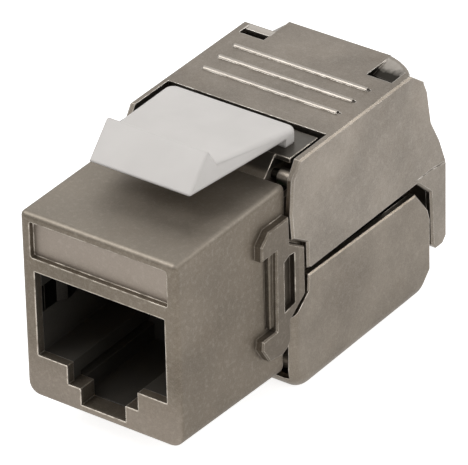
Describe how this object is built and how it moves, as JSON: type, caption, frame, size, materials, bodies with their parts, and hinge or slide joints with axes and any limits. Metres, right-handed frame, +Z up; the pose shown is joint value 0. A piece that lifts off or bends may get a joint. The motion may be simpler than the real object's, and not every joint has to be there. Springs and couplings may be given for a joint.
{
  "type": "shielded keystone jack",
  "caption": "Shielded keystone jack: cast metal nose with an RJ45 port, a white snap latch on top and two hinged metal covers that close on the cable.",
  "frame": {"origin": "under the middle of the jack, on the plane that the lower cover rests on", "axes": "+X across the jack, +Y from the port's face to the cable, +Z up towards the latch"},
  "size_m": [0.016, 0.0352, 0.0237],
  "materials": {
    "cast_metal": "satin nickel-plated zinc casting",
    "latch_plastic": "white moulded plastic",
    "dark_plastic": "black moulded plastic",
    "board": "green solder mask",
    "gold_contact": "gold plated",
    "tinned_contact": "tin plated",
    "steel": "bright steel"
  },
  "bodies": {
    "housing": {"front_housing": "cast_metal", "port_insert": "dark_plastic", "circuit_board": "board", "idc_block": "dark_plastic", "wire_manager": "dark_plastic", "contact_1": "gold_contact", "contact_2": "gold_contact", "contact_3": "gold_contact", "contact_4": "gold_contact", "contact_5": "gold_contact", "contact_6": "gold_contact", "contact_7": "gold_contact", "contact_8": "gold_contact", "idc_1": "tinned_contact", "idc_2": "tinned_contact", "idc_3": "tinned_contact", "idc_4": "tinned_contact", "idc_5": "tinned_contact", "idc_6": "tinned_contact", "idc_7": "tinned_contact", "idc_8": "tinned_contact", "ground_spring_left": "steel", "ground_spring_right": "steel", "hinge_pin_upper_left": "steel", "hinge_pin_upper_right": "steel", "hinge_pin_lower_left": "steel", "hinge_pin_lower_right": "steel"},
    "latch": {"snap_latch": "latch_plastic"},
    "upper_cover_body": {"upper_cover": "cast_metal"},
    "lower_cover_body": {"lower_cover": "cast_metal"}
  },
  "joints": [
    {"name": "upper_cover_hinge", "type": "hinge", "parent": "housing", "child": "upper_cover_body", "pos_m": [0, -0.0025, 0.01885], "axis": [1, 0, 0], "range_deg": [0, 90]},
    {"name": "lower_cover_hinge", "type": "hinge", "parent": "housing", "child": "lower_cover_body", "pos_m": [0, -0.00155, 0.0023], "axis": [-1, 0, 0], "range_deg": [0, 75]},
    {"name": "latch_flex", "type": "hinge", "parent": "housing", "child": "latch", "pos_m": [0, -0.00115, 0.0204], "axis": [1, 0, 0], "range_deg": [0, 9], "stiffness_Nm_per_rad": 0.1}
  ]
}
